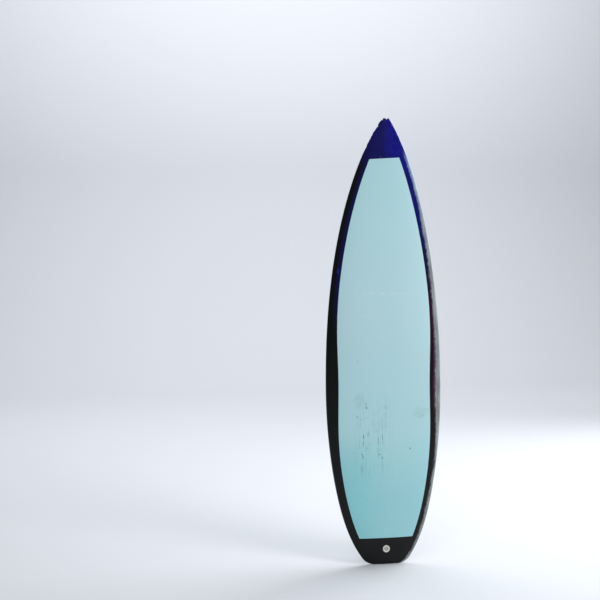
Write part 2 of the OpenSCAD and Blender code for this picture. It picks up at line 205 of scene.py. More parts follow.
def rough(seed, knots):
    """A jagged run of small numbers from -1 to 1, the same on every run."""
    values = np.random.default_rng(seed).uniform(-1, 1, knots)
    return np.interp(np.linspace(0, knots - 1, SAMPLES), np.arange(knots), values)


def sample(run, where):
    """The number at a place along a jagged run, held at its ends."""
    return run[int(min(SAMPLES - 1, max(0, where)))]


def tip_loss(x, bite, fine):
    """How much of the tip is gone at x: more in the notch, and most at the broken left shoulder."""
    if x > SHOULDER:
        notch = NOTCH_DEPTH * math.exp(-(((x - NOTCH_X) / NOTCH_HALF) ** 2))
        return TIP_LOST + notch + 1.6 * bite + 0.8 * fine
    return min(TIP_LOST + 2.2 * (SHOULDER - x), 12.0 + 0.3 * (SHOULDER - 4 - x)) + 2.2 * bite


def chip_nose(points):
    """Knocks the blunt tip about: a broken left shoulder, a notch in the top and a ragged left edge."""
    bite, fine, steps = rough(3, 30), rough(4, 120), rough(6, 20)
    out = []
    for x, y, z in points:
        s = LENGTH - z
        if s < RAGGED and z > 0:
            across, along = (x - RUN_START) * ACROSS, s * ALONG
            cut = min(z, LENGTH - max(LEAST_LOST, tip_loss(x, sample(bite, across), sample(fine, across))))
            y += float(bottom_y(cut) - bottom_y(z))
            z = cut
            if x < RAGGED_X:
                fade = max(0.0, 1 - s / RAGGED) * min(1.0, s / 8) * min(1.0, (RAGGED_X - x) / 10)
                broken = 6.5 * max(0.0, sample(steps, along)) + 3.0 * max(0.0, sample(bite, along))
                x += (broken + sample(fine, along)) * fade
        out.append((x, y, z))
    return out


def board_surface():
    """The whole closed outer surface, with the taped panel's faces marked 1 and the dark faces 0."""
    heights, low, high = station_heights()
    rings = []
    for z in heights:
        tilt = TAPE_SKEW * math.exp(-(((z - (LENGTH - NOSE_CUT)) / SKEW_REACH) ** 2))
        rings.append(chip_nose(ring(z, tilt)))
    m = len(rings[0])
    points = [p for r in rings for p in r]
    faces, kinds = [], []
    for i in range(len(rings) - 1):
        for j in range(m):
            k = (j + 1) % m
            faces.append((i * m + j, i * m + k, (i + 1) * m + k, (i + 1) * m + j))
            panel = low <= i < high and (j < DECK_COLS or j >= m - 1 - DECK_COLS)
            kinds.append(1 if panel else 0)
    for i, turn in ((0, True), (len(rings) - 1, False)):
        row = np.array(rings[i])
        c = len(points)
        points.append(tuple((row[0] + row[m // 2 - 1]) / 2 * np.array([0, 1, 1])))
        for j in range(m):
            a, b = i * m + j, i * m + (j + 1) % m
            faces.append((c, b, a) if turn else (c, a, b))
            kinds.append(0)
    return points, faces, kinds


# ---------------------------------------------------------------- frames on the board
def slope(height, z):
    """Angle of the deck's or bottom's line along the board."""
    return math.atan(float(height(z + 1.0) - height(z - 1.0)) / 2)


def bottom_frame(x, z, toe, cant):
    """Local X up the board, local Z out of the bottom, with a fin's toe and cant, in metres."""
    c, s = math.cos(slope(bottom_y, z)), math.sin(slope(bottom_y, z))
    w, t, y0 = float(half_width(z)), float(thickness(z)), float(bottom_y(z))
    y = float(section_y(max(abs(x), STRINGER), z, w, t, y0, False))
    basis = Matrix(((0, 1, 0, x * MM), (s, 0, c, y * MM), (c, 0, -s, z * MM), (0, 0, 0, 1)))
    return basis @ Matrix.Rotation(math.radians(toe), 4, "Z") @ Matrix.Rotation(math.radians(cant), 4, "X")


def deck_frame(z):
    """Local X up the board, local Z out of the deck at the stringer, in metres."""
    c, s = math.cos(slope(deck_y, z)), math.sin(slope(deck_y, z))
    return Matrix(((0, -1, 0, 0), (s, 0, -c, float(deck_y(z)) * MM), (c, 0, s, z * MM), (0, 0, 0, 1)))


SIDE_Z, CENTRE_Z = SIDE_FIN_UP + FIN_BASE / 2, CENTRE_FIN_UP + FIN_BASE / 2
SIDE_X = float(half_width(SIDE_Z)) - SIDE_FIN_RAIL
FINS = {"left": -1, "centre": 0, "right": 1}


def fin_frame(side, lean=True):
    """A fin's frame at the middle of its base, with its cant or, for the plugs, without."""
    z = CENTRE_Z if side == 0 else SIDE_Z
    return bottom_frame(side * SIDE_X, z, -side * TOE, -side * CANT if lean else 0)


def plug_places():
    """The frame of each round plug, front and rear under every fin."""
    for side in FINS.values():
        for fore in (1, -1):
            yield fin_frame(side, lean=False) @ Matrix.Translation((fore * PLUG_PITCH / 2 * MM, 0, 0))


# ---------------------------------------------------------------- meshes
def mesh_object(name, points, faces):
    """A plain object in the scene, from points in millimetres."""
    mesh = bpy.data.meshes.new(name)
    mesh.from_pydata([tuple(v * MM for v in p) for p in points], [], faces)
    mesh.validate()
    obj = bpy.data.objects.new(name, mesh)
    bpy.context.scene.collection.objects.link(obj)
    return obj


def new_piece(name, points, faces, body, replaced, slot=None, transform=None, normals=None):
    """A visible piece that rides on a body and replaces plain nodes of the frame."""
    mesh = bpy.data.meshes.new(name)
    mesh.from_pydata([tuple(v * MM for v in p) for p in points], [], faces)
    if transform is not None:
        mesh.transform(transform)
    mesh.polygons.foreach_set("use_smooth", [True] * len(mesh.polygons))
    if normals is not None:
        mesh.normals_split_custom_set(normals)
    else:
        mesh.set_sharp_from_angle(angle=math.radians(35))
    piece = bpy.data.objects.new(name, mesh)
    bpy.context.scene.collection.objects.link(piece)
    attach(piece, body)
    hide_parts(*replaced)
    return piece


def blank_piece(name, node):
    """A foam half or the stringer, drawn in under the broken tip and the rounded tail edge."""
    source = nodes[node]
    drawn = []
    for vertex in source.data.vertices:
        x, y, z = (c / MM for c in source.matrix_world @ vertex.co)
        slim = 1 - SLIM_WIDTH * min(1.0, max(0.0, 1 - (LENGTH - z) / SLIM_REACH))
        thin = 1 - SLIM_THICK + SLIM_THICK * slim
        cut = min(max(z, TAIL_GAP), LENGTH - NOSE_GAP)
        y = float(bottom_y(cut)) + (y - float(bottom_y(z))) * thin - (1 - slim) * SLIM_SINK
        drawn.append((x * slim, y, cut))
    return new_piece(name, drawn, [tuple(f.vertices) for f in source.data.polygons], "board", (node,))


def cylinder_cutter(place, radius, low, high, sides=96):
    """Points and faces of a round cutter along local Z of a frame, in millimetres on the board."""
    points = []
    for h in (low, high):
        for k in range(sides):
            a = 2 * math.pi * k / sides
            p = place @ Vector((radius * math.cos(a) * MM, radius * math.sin(a) * MM, h * MM))
            points.append(tuple(v / MM for v in p))
    faces = [tuple(range(sides - 1, -1, -1)), tuple(range(sides, 2 * sides))]
    faces += [(k, (k + 1) % sides, sides + (k + 1) % sides, sides + k) for k in range(sides)]
    return points, faces


def hole_cutter():
    """The round cutters of all fin plugs and of the leash cup, as one object."""
    cutters = [(place, PLUG_RADIUS, -PLUG_DEPTH, CUT_OVER) for place in plug_places()]
    cutters.append((deck_frame(CUP_UP), CUP_RIM, -CUP_RIM_DEPTH, CUT_OVER))
    points, faces = [], []
    for cutter in cutters:
        ring_points, ring_faces = cylinder_cutter(*cutter)
        faces += [tuple(v + len(points) for v in face) for face in ring_faces]
        points += ring_points
    return mesh_object("cutter", points, faces)


def cut_surface():
    """The whole outer surface with its holes cut, as a mesh whose faces are marked dark, panel or cut."""
    points, faces, kinds = board_surface()
    whole, cutter = mesh_object("whole_surface", points, faces), hole_cutter()
    for label in ("dark", "panel", "cut"):
        whole.data.materials.append(bpy.data.materials.new("mark_" + label))
    whole.data.polygons.foreach_set("material_index", kinds)
    cutter.data.materials.append(bpy.data.materials["mark_cut"])
    holes = whole.modifiers.new("holes", "BOOLEAN")
    holes.operation = "DIFFERENCE"
    holes.solver = "EXACT"
    holes.material_mode = "TRANSFER"
    holes.object = cutter
    bpy.context.view_layer.update()
    done = bpy.data.meshes.new_from_object(whole.evaluated_get(bpy.context.evaluated_depsgraph_get()))
    done.polygons.foreach_set("use_smooth", [True] * len(done.polygons))
    done.set_sharp_from_angle(angle=math.radians(50))
    for obj in (whole, cutter):
        bpy.data.objects.remove(obj)
    return done


def past_tape(points):
    """How far a point lies beyond the taped edge, in millimetres over the deck, rail and bottom."""
    x, y, z = np.abs(points[:, 0]), points[:, 1], points[:, 2]
    w, t = half_width(z), thickness(z)
    edge = tape_edge(z, w)
    apex = bottom_y(z) - rail_drop(z, t)
    return np.where(y <= apex, x - edge, (w - edge) + (w - x) + (y - apex)).astype(np.float32)


def skins():
    """Parts the cut surface into dark skin and deck panel, shaded as one surface across the tape."""
    whole = cut_surface()
    marks = [m.name if m else "" for m in whole.materials]
    co = [tuple(c / MM for c in v.co) for v in whole.vertices]
    corner = [tuple(n.vector) for n in whole.corner_normals]
    made = []
    for mark, name, node, slot in (("mark_dark", "dark_skin", "bottom_laminate", "dark_laminate"),
                                   ("mark_panel", "deck_panel", "deck_inlay", "aqua_laminate")):
        used, faces, normals = {}, [], []
        for face in whole.polygons:
            if marks[face.material_index] == mark:
                faces.append(tuple(used.setdefault(v, len(used)) for v in face.vertices))
                normals += [corner[k] for k in face.loop_indices]
        points = [co[v] for v in used]
        piece = new_piece(name, points, faces, "board", (node,), slot, normals=normals)
        tape = piece.data.attributes.new("past_tape", "FLOAT", "POINT")
        tape.data.foreach_set("value", past_tape(np.array(points)))
        made.append(piece)
    return made


# ---------------------------------------------------------------- fins
FIN_ROWS, FIN_COLS = 64, 30
FOIL_PEAK = 2.598  # brings the peak of sqrt(c) * (1 - c) to 1
FIN_TAPER = 0.72  # share of the thickness that is gone at the tip
LEAD_ROUND, TRAIL_ROUND = 0.012, 0.01  # how much of the chord rounds each rim


def stadium_points(length, width, low, high, arc=14, bevel=0.5):
    """A bar with round ends standing from low to high, its lower edge bevelled."""
    rings = []
    for h, g in ((low, bevel), (low + bevel, 0), (high, 0)):
        r, run = width / 2 - g, (length - width) / 2
        rows = [(s * run + r * math.cos(a), r * math.sin(a), h)
                for s, start in ((1, -90), (-1, 90)) for a in
                [math.radians(start + 180 * k / arc) for k in range(arc + 1)]]
        rings.append(rows)
    n = len(rings[0])
    points = [p for r in rings for p in r]
    faces = [tuple(range(n - 1, -1, -1)), tuple(range(2 * n, 3 * n))]
    faces += [(i * n + j, i * n + (j + 1) % n, (i + 1) * n + (j + 1) % n, (i + 1) * n + j)
              for i in range(2) for j in range(n)]
    return points, faces


def quarter_round(c, run):
    """Rises from 0 to 1 as a quarter circle while c goes from 0 to run."""
    return math.sqrt(max(0.0, 1 - (1 - min(1.0, c / run)) ** 2))


def fin_row(side, h, edge):
    """One closed row round the foil, h of the way to the tip, with rims of the given thickness.

    The leading edge sweeps back along a power curve. The trailing edge cuts in and then hooks back.
    """
    lead = FIN_BASE / 2 - FIN_BASE * (1.06 * h ** 1.35 + 0.11 * h ** 12)
    trail = -FIN_BASE / 2 + FIN_BASE * (0.27 * h * (1 - h) - 0.29 * h ** 3)
    taper = 1 - FIN_TAPER * h
    thick, inside = FIN_THICK * taper - FIN_EDGE, FIN_INSIDE * taper
    lean = math.radians(CANT * abs(side))
    row = []
    for face, columns in ((1, range(FIN_COLS + 1)), (-1, range(FIN_COLS - 1, 0, -1))):
        for k in columns:
            c = (1 - math.cos(math.pi * k / FIN_COLS)) / 2
            bulge = FOIL_PEAK * math.sqrt(c) * (1 - c)
            soft = min(1.0, quarter_round(c, LEAD_ROUND), quarter_round(1 - c, TRAIL_ROUND))
            if side == 0:
                y = face * (edge / 2 * soft + thick / 2 * bulge)
            else:
                y = edge / 2 - inside + face * edge / 2 * soft + (thick * bulge if face > 0 else 0)
            z = h * FIN_DEPTH if h else (FIN_SEAT + y * math.sin(lean)) / math.cos(lean)
            row.append((mix(lead, trail, c), y, z))
    return row


def fin_blade(side):
    """Points and faces of a foil, closed at its base and its tip."""
    points = []
    for i in range(FIN_ROWS + 1):
        edge = FIN_EDGE * (1 if i < FIN_ROWS - 1 else 0.5)
        points += fin_row(side, math.sin(math.pi / 2 * i / FIN_ROWS), edge)
    m = 2 * FIN_COLS
    faces = [(i * m + j, i * m + (j + 1) % m, (i + 1) * m + (j + 1) % m, (i + 1) * m + j)
             for i in range(FIN_ROWS) for j in range(m)]
    for base, turn in ((0, True), (FIN_ROWS * m, False)):
        for k in range(FIN_COLS):
            corners = (base + k, base + k + 1, base + m - k - 1, base + (m - k) % m)
            quad = tuple(dict.fromkeys(corners))
            faces.append(quad[::-1] if turn else quad)
    return points, faces


def fin(name, side):
    """A fin with its two tabs: flat inside on the side fins, both sides foiled in the centre."""
    points, faces = fin_blade(side)
    for fore in (-1, 1):
        tab, tab_faces = stadium_points(TAB_LENGTH, TAB_THICK, -TAB_DEPTH, TAB_SUNK)
        faces += [tuple(v + len(points) for v in face) for face in tab_faces]
        points += [(x + fore * PLUG_PITCH / 2, y, z) for x, y, z in tab]
    if side < 0:
        points = [(x, -y, z) for x, y, z in points]
        faces = [face[::-1] for face in faces]
    return new_piece("foiled_fin_" + name, points, [face[::-1] for face in faces], "fin_" + name,
                     ("fin_" + name,), "fin_composite", transform=fin_frame(side))


# ---------------------------------------------------------------- finishes
class Value:
    """A shader socket whose arithmetic adds Math nodes."""

    def __init__(self, finish, socket):
        self.finish, self.socket = finish, socket

    def math(self, operation, *others, first=None):
        given = [self if first is None else first] + list(others)
        node = self.finish.node("ShaderNodeMath", {"operation": operation}, dict(enumerate(given)))
        return Value(self.finish, node.outputs[0])

    def __add__(self, o):
        return self.math("ADD", o)

    def __sub__(self, o):
        return self.math("SUBTRACT", o)

    def __rsub__(self, o):
        return self.math("SUBTRACT", self, first=o)

    def __mul__(self, o):
        return self.math("MULTIPLY", o)

    def __truediv__(self, o):
        return self.math("DIVIDE", o)

    __radd__ = __add__
    __rmul__ = __mul__

    def top(self, o):
        """The larger of the two."""
        return self.math("MAXIMUM", o)

    def low(self, o):
        """The smaller of the two."""
        return self.math("MINIMUM", o)

    def size(self):
        """The value without its sign."""
        return self.math("ABSOLUTE")

    def rise(self, start, end):
        """0 before start, 1 after end, smooth between."""
        node = self.finish.node("ShaderNodeMapRange", {"interpolation_type": "SMOOTHSTEP"},
                                {0: self, 1: start, 2: end, 3: 0.0, 4: 1.0})
        return Value(self.finish, node.outputs[0])


def linear(colour):
    """Linear light from a colour given as 0 to 255 on a screen."""
    return tuple((c / 255 / 12.92 if c / 255 <= 0.04045 else ((c / 255 + 0.055) / 1.055) ** 2.4)
                 for c in colour) + (1.0,)


class Finish:
    """One procedural material. Its places x, y and z are in metres on the board."""

    def __init__(self, name):
        self.material = bpy.data.materials.new(name)
        self.material.use_nodes = True
        self.tree = self.material.node_tree
        self.shader = next(n for n in self.tree.nodes if n.type == "BSDF_PRINCIPLED")
        self.place = self.node("ShaderNodeTexCoord", {}, {}).outputs["Object"]
        parts = self.node("ShaderNodeSeparateXYZ", {}, {0: self.place})
        self.x, self.y, self.z = (Value(self, parts.outputs[k]) for k in range(3))

    def node(self, kind, settings, inputs):
        """Adds a node: its settings first, then the values or links of its sockets."""
        made = self.tree.nodes.new(kind)
        for key, value in settings.items():
            if key == "stops":
                ramp = made.color_ramp
                while len(ramp.elements) < len(value):
                    ramp.elements.new(0.5)
                for element, (position, colour) in zip(ramp.elements, value):
                    element.position, element.color = position, colour
            else:
                setattr(made, key, value)
        for key, value in inputs.items():
            self.feed(made.inputs[key], value)
        return made

    def feed(self, socket, value):
        """Links a socket, or sets it to a constant."""
        value = value.socket if isinstance(value, Value) else value
        if isinstance(value, bpy.types.NodeSocket):
            self.tree.links.new(value, socket)
        elif value is not None:
            socket.default_value = value

    def stretched(self, sx, sy, sz):
        """Place on the board, scaled along each axis."""
        return self.node("ShaderNodeVectorMath", {"operation": "MULTIPLY"},
                         {0: self.place, 1: (sx, sy, sz)}).outputs[0]

    def noise(self, where, scale, detail=3.0, roughness=0.55):
        """Soft noise round 0.5."""
        made = self.node("ShaderNodeTexNoise", {}, {"Vector": where, "Scale": scale, "Detail": detail,
                                                    "Roughness": roughness})
        return Value(self, made.outputs[0])

    def blend(self, share, first, second):
        """The first colour, with a share of the second."""
        made = self.node("ShaderNodeMix", {"data_type": "RGBA"}, {0: share, 6: first, 7: second})
        return made.outputs[2]

    def ramp(self, value, stops):
        """A run of colours along a value, from pairs of a position and a screen colour."""
        made = self.node("ShaderNodeValToRGB", {"stops": [(at, linear(c)) for at, c in stops]}, {0: value})
        return made.outputs[0]

    def attribute(self, name):
        """A number stored on the mesh's points."""
        made = self.node("ShaderNodeAttribute", {"attribute_name": name}, {})
        return Value(self, made.outputs[2])

    def spot(self, x, z, wide, tall, soft=0.4, at=None):
        """A round or long mark at x, z: 1 inside, 0 outside. at gives other places, for a ragged rim."""
        here_x, here_z = at or (self.x, self.z)
        dx, dz = (here_x - x) / wide, (here_z - z) / tall
        return 1 - (dx * dx + dz * dz).rise(1 - soft, 1 + soft)

    def weave(self, pitch):
        """Fine squares of glass cloth under the resin, 0 to 1."""
        turn = 2 * math.pi / pitch
        return (self.x * turn).math("SINE") * (self.z * turn).math("SINE") * 0.5 + 0.5

    def bump(self, height, strength, distance, under=None):
        """The surface's direction where a height rises and falls, over the bump given as under."""
        made = self.node("ShaderNodeBump", {}, {"Height": height, "Strength": strength,
                                                "Distance": distance, "Normal": under})
        return made.outputs[0]

    def shade(self, **given):
        """Feeds the shader's sockets and hands back the finished material."""
        for key, value in given.items():
            self.feed(self.shader.inputs[key.replace("_", " ")], value)
        return self.material


CLOTH_PITCH = 0.0011


class DarkSkin(Finish):
    """Dark gloss laminate: blue nose cap with painted shade to the left, black left side, and a scratched
    right rail coloured with painted sheen, under a pale, partly salty film of painted highlight.
    """

    def __init__(self):
        super().__init__("navy_black_gloss_laminate")
        self.down = LENGTH * MM - self.z
        self.past = self.attribute("past_tape")  # in millimetres
        self.cloud = self.noise(self.place, 7.0, 4.0)
        self.dust = self.noise(self.stretched(1, 1, 0.2), 42.0, 5.0, 0.65)
        self.torn = self.noise(self.place, 300.0, 4.0, 0.7)
        self.along = self.down + (self.cloud - 0.5) * 0.12
        self.cap = 1 - (self.along - self.x * 0.5).rise(0.13, 0.27)
        self.right = self.x.rise(-0.01, 0.01) * (1 - self.past.rise(50, 90))

    def cap_colour_and_shade(self):
        """Mottled blue, with painted shade that makes it darker to the left, away from the light."""
        blotch = self.noise(self.place, 55.0, 5.0, 0.65)
        blue = self.blend(blotch.rise(0.38, 0.66) * 0.6, linear((14, 12, 108)), linear((22, 23, 130)))
        blue = self.blend(self.torn.rise(0.52, 0.7) * 0.25, blue, linear((34, 38, 140)))
        # painted shade: the left of the cap, away from the light, is drawn a darker blue
        return self.blend(self.x.rise(-0.08, 0.03), linear((14, 13, 82)), blue)

    def left_line(self, paint):
        """A blue line beside the tape on the left, with one bright glint."""
        beside_tape = 1 - (self.past + (self.torn - 0.5) * 8).rise(6, 22)
        line = beside_tape * (1 - self.along.rise(0.66, 0.95)) * (1 - self.x.rise(-0.01, 0.01))
        paint = self.blend(line * 0.75, paint, linear((15, 14, 78)))
        glint = self.spot(-0.193, 1.236, 0.004, 0.012, 0.9) * (1 - self.past.rise(20, 30))
        return self.blend(glint * 0.6, paint, linear((30, 45, 150)))

    def right_rail_sheen(self, paint):
        """Painted sheen on the right rail: blue, violet and maroon that fade to black down the rail as the
        light on the navy paint falls off, and a plum band of painted sheen along its middle.
        """
        # painted sheen: the light on the navy paint, bright near the nose and falling to black down the rail
        run = self.ramp(self.along * 0.5, [(0.06, (17, 17, 112)), (0.2, (15, 16, 92)), (0.3, (16, 14, 52)),
                                           (0.4, (38, 12, 34)), (0.5, (30, 10, 14)), (0.62, (12, 10, 11))])
        paint = self.blend(self.right * (1 - self.cap), paint, run)
        # painted sheen: a plum band inside the pale painted highlight
        plum = (self.past + (self.dust - 0.5) * 12).rise(12, 20) * (1 - self.past.rise(26, 36)) * self.right
        tint = self.ramp(self.along * 0.5 + (self.torn - 0.5) * 0.02,
                         [(0.38, (60, 20, 40)), (0.5, (52, 28, 84)), (0.62, (70, 22, 40))])
        share = plum * self.along.rise(0.6, 0.85) * (1 - self.down.rise(1.1, 1.32)) * 0.7
        return self.blend(share, paint, tint)

    def highlight_shore(self):
        """How far past the ragged inner edge of the pale film of painted highlight a place lies, in
        millimetres.
        """
        s = self.down
        start = 21 - 5 * s.rise(0.35, 0.5) + 9 * s.rise(0.85, 1.04) + 2 * s.rise(1.2, 1.35)
        start = start - 5 * s.rise(1.44, 1.6)
        lumps = self.noise(self.stretched(1, 1, 0.7), 95.0, 3.0, 0.6)
        return self.past - start + (self.torn - 0.5) * 8 + (lumps - 0.5) * 16 + (self.dust - 0.5) * 6

    def highlight_and_salt_film(self, shore):
        """Where the right rail is paled by painted highlight of the light from the right, with a little salty
        haze.
        """
        highlight_and_salt = shore.rise(-2, 6) * (1 - self.past.rise(58, 85)) * self.right * self.down.rise(0.13, 0.19)
        return highlight_and_salt * (0.6 + self.dust.rise(0.35, 0.7) * 0.4)

    def look(self):
        """The colour from the inside out, then the painted highlight with its salty haze, the scratches, the
        chips and the surface.
        """
        paint = self.blend(self.cap, linear((10, 9, 10)), self.cap_colour_and_shade())
        paint = self.right_rail_sheen(self.left_line(paint))
        under = self.past.rise(70, 110) * (1 - self.cap)
        paint = self.blend(under * 0.6, paint, linear((13, 13, 34)))

        shore = self.highlight_shore()
        highlight_and_salt = self.highlight_and_salt_film(shore)
        # painted highlight: the pale band on the right rail stands for the light from the right, with a
        # little salty haze
        highlight_and_salt_colour = self.blend(self.down.rise(0.2, 0.5), linear((146, 176, 196)), linear((160, 170, 170)))
        paint = self.blend(highlight_and_salt * 0.68, paint, highlight_and_salt_colour)
        scratch = (1 - (self.torn - 0.5).size().rise(0.0, 0.03)) * (1 - (shore - 2).size().rise(2, 8))
        scratch = scratch * self.right * self.along.rise(0.55, 0.75)
        paint = self.blend(scratch * 0.5, paint, linear((190, 190, 196)))
        specks = self.noise(self.place, 380.0, 1.0).rise(0.75, 0.8)
        dusty = self.dust.rise(0.55, 0.8) * 0.015 + specks * 0.15
        paint = self.blend(dusty, paint, linear((130, 132, 138)))

        tip = (1 - self.down.rise(0.006, 0.022)) * self.torn.rise(0.5, 0.62)
        chipped = (1 - self.down.rise(0.02, 0.2)) * (1 - self.x.rise(-0.09, -0.03)) * self.past.rise(18, 30)
        chipped = chipped * self.torn.rise(0.6, 0.66)
        paint = self.blend((tip * 0.16 + chipped * 0.14).low(1), paint, linear((120, 124, 140)))
        nick = self.spot(-0.0185, 1.7145, 0.0028, 0.0016)
        paint = self.blend(nick * 0.4, paint, linear((130, 150, 180)))

        gloss = 0.16 + self.dust * 0.16 + specks * 0.2 + tip * 0.4 + highlight_and_salt * 0.3
        fine = self.noise(self.stretched(1, 1, 0.35), 160.0, 3.0)
        normal = self.bump(self.weave(CLOTH_PITCH), 0.04, 0.0002)
        normal = self.bump(self.cloud + fine * 0.12, 0.15, 0.0015, normal)
        normal = self.bump(self.torn * (tip + chipped), 0.6, 0.001, normal)
        return self.shade(Base_Color=paint, Roughness=gloss.low(0.9), Normal=normal,
                          Specular_IOR_Level=0.28, IOR=1.45)


# Dings low on the deck: x, height, half width and half height, in metres
DINGS = ((-0.079, 0.66, 0.0026, 0.007), (-0.081, 0.676, 0.0012, 0.008),
         (-0.118, 0.621, 0.0022, 0.0035), (-0.093, 0.538, 0.0022, 0.008),
         (-0.094, 0.505, 0.0012, 0.012), (-0.096, 0.452, 0.002, 0.009),
         (-0.1, 0.464, 0.0022, 0.0035), (-0.024, 0.461, 0.005, 0.0022),
         (-0.014, 0.447, 0.0026, 0.0055), (-0.03, 0.52, 0.001, 0.014),
         (-0.07, 0.55, 0.001, 0.012), (-0.012, 0.535, 0.001, 0.016),
         (-0.078, 0.49, 0.0016, 0.0026), (0.107, 0.481, 0.0024, 0.005),
         (-0.135, 0.47, 0.0014, 0.002), (-0.115, 0.855, 0.0016, 0.0026))


class DeckPanel(Finish):
    """Aqua satin laminate, paler up the deck and with a painted highlight on its upper right, with streaks,
    dings, smudges and faint creases.
    """

    def __init__(self):
        super().__init__("aqua_satin_laminate")
        self.cloud = self.noise(self.place, 5.0, 3.0)
        self.mottle = self.noise(self.place, 38.0, 4.0, 0.6)

    def colour_and_highlight(self):
        """The panel's colour, which drifts down and across the deck, with a painted highlight on its upper
        right, towards the light.
        """
        down = LENGTH * MM - self.z
        paint = self.ramp(down * 0.5 + (self.cloud - 0.5) * 0.04, [(0.08, (170, 210, 215)),
                                                                   (0.4, (177, 211, 218)),
                                                                   (0.66, (173, 213, 219)),
                                                                   (0.8, (152, 205, 212))])
        lower_left = (1 - self.z.rise(0.36, 0.58)) * (1 - self.x.rise(-0.17, 0.05))
        paint = self.blend(lower_left * 0.45, paint, linear((118, 200, 206)))
        # painted highlight: the upper right of the panel, towards the light, is drawn paler
        painted_highlight_upper_right = self.x.rise(0.02, 0.17) * self.z.rise(0.6, 1.0)
        paint = self.blend(painted_highlight_upper_right * 0.4, paint, linear((185, 215, 223)))
        return self.blend(self.mottle.rise(0.52, 0.8) * 0.16, paint, linear((184, 219, 226)))

    def worn(self):
        """The worn stretch low on the deck."""
        return (1 - (self.z + self.mottle * 0.12).rise(0.66, 0.86)) * self.z.rise(0.3, 0.42)

    def streaks(self):
        """Fine upright streaks in a band left of the stringer."""
        band = (1 - self.x.rise(-0.01, 0.05)) * self.x.rise(-0.15, -0.1)
        lines = 1 - (self.noise(self.stretched(1, 1, 0.03), 95.0, 2.0) - 0.5).size().rise(0.0, 0.035)
        wear = self.noise(self.stretched(1, 1, 0.1), 330.0, 4.0, 0.7)
        drawn = (lines * 0.8 + wear.rise(0.56, 0.66)).low(1)
        return drawn * self.worn() * band * self.mottle.rise(0.36, 0.54)

    def dings(self):
        """Small dents with ragged rims."""
        ragged = (self.noise(self.place, 240.0, 3.0, 0.7) - 0.5) * 0.006
        at = (self.x + ragged, self.z + ragged * 1.6)
        marks = [self.spot(*ding, soft=0.7, at=at) for ding in DINGS]
        together = marks[0]
        for mark in marks[1:]:
            together = together.top(mark)
        return together

    def smudges(self):
        """Two soft, broken smudges."""
        mottle, cloud = self.mottle - 0.5, self.cloud - 0.5
        at = (self.x + mottle * 0.05, self.z + cloud * 0.05 + mottle * 0.04)
        left = self.spot(-0.108, 0.687, 0.02, 0.03, 0.95, at)
        right = self.spot(0.152, 0.628, 0.028, 0.022, 0.95, at)
        broken = self.noise(self.place, 120.0, 4.0, 0.7).rise(0.36, 0.62)
        return left.top(right) * (0.3 + broken * 0.7)

    def creases(self, paint):
        """A pale, broken crease line across the deck, and a short one below it."""
        off_line = self.z - 1.138 - (self.cloud - 0.5) * 0.03 - (self.mottle - 0.5) * 0.02
        line = 1 - (off_line / 0.005).size().rise(0.3, 1.0)
        crease = line * self.mottle.rise(0.46, 0.58) * (1 - (self.x + 0.02).size().rise(0.1, 0.135))
        paint = self.blend(crease * 0.7, paint, linear((206, 226, 232)))
        second = self.spot(-0.071, 1.047, 0.03, 0.004, 0.8) * self.mottle.rise(0.44, 0.56)
        return self.blend(second * 0.45, paint, linear((206, 226, 232)))

    def look(self):
        """The colour with its painted highlight, then streaks, scuffs, dings, smudges, creases and the
        surface.
        """
        streaks, marks = self.streaks(), self.dings()
        paint = self.blend(streaks * 0.5, self.colour_and_highlight(), linear((96, 158, 166)))
        scuffs = self.noise(self.stretched(1, 1, 0.45), 90.0, 4.0, 0.75).rise(0.64, 0.72)
        scuffs = scuffs * self.worn() * self.x.rise(-0.17, 0.0)
        paint = self.blend(scuffs * 0.2, paint, linear((120, 168, 172)))
        paint = self.blend(marks * 0.7, paint, linear((62, 104, 112)))
        paint = self.blend(self.smudges() * 0.26, paint, linear((122, 164, 158)))
        paint = self.creases(paint)
        normal = self.bump(self.weave(CLOTH_PITCH), 0.05, 0.0002)
        normal = self.bump(self.cloud * 0.6 + self.mottle * 0.1, 0.12, 0.0012, normal)
        normal = self.bump(1 - marks, 0.7, 0.0008, normal)
        return self.shade(Base_Color=paint, Roughness=0.42 + self.mottle * 0.14 + streaks * 0.2,
                          Normal=normal, Specular_IOR_Level=0.35, IOR=1.48)


def foam_finish():
    """Cream foam with open cells, sanded lengthways."""
    f = Finish("shaped_foam")
    cells = f.noise(f.place, 900.0, 2.0)
    sanded = f.noise(f.stretched(1, 1, 0.1), 120.0, 3.0)
    paint = f.blend(cells.rise(0.35, 0.7), linear((226, 219, 196)), linear((242, 238, 222)))
    normal = f.bump(cells + sanded * 0.5, 0.4, 0.0006)
    return f.shade(Base_Color=paint, Roughness=0.88 + sanded * 0.08, Normal=normal)


def wood_finish():
    """Pale straight-grained wood."""
    f = Finish("basswood_stringer")
    grain = f.noise(f.stretched(1, 1, 0.03), 420.0, 5.0, 0.6)
    bands = f.noise(f.stretched(1, 0.6, 0.05), 60.0, 2.0)
    paint = f.blend(grain, linear((190, 148, 98)), linear((222, 186, 136)))
    paint = f.blend(bands.rise(0.5, 0.8) * 0.5, paint, linear((164, 118, 74)))
    return f.shade(Base_Color=paint, Roughness=0.55 + grain * 0.2, Normal=f.bump(grain, 0.3, 0.0004))


def nylon_finish():
    """White moulded plastic, a little yellowed."""
    f = Finish("moulded_white_nylon")
    grain = f.noise(f.place, 1500.0, 2.0)
    stain = f.noise(f.place, 60.0, 4.0)
    paint = f.blend(stain.rise(0.45, 0.75) * 0.4, linear((232, 231, 224)), linear((196, 192, 176)))
    return f.shade(Base_Color=paint, Roughness=0.42 + grain * 0.16, Normal=f.bump(grain, 0.25, 0.0003))


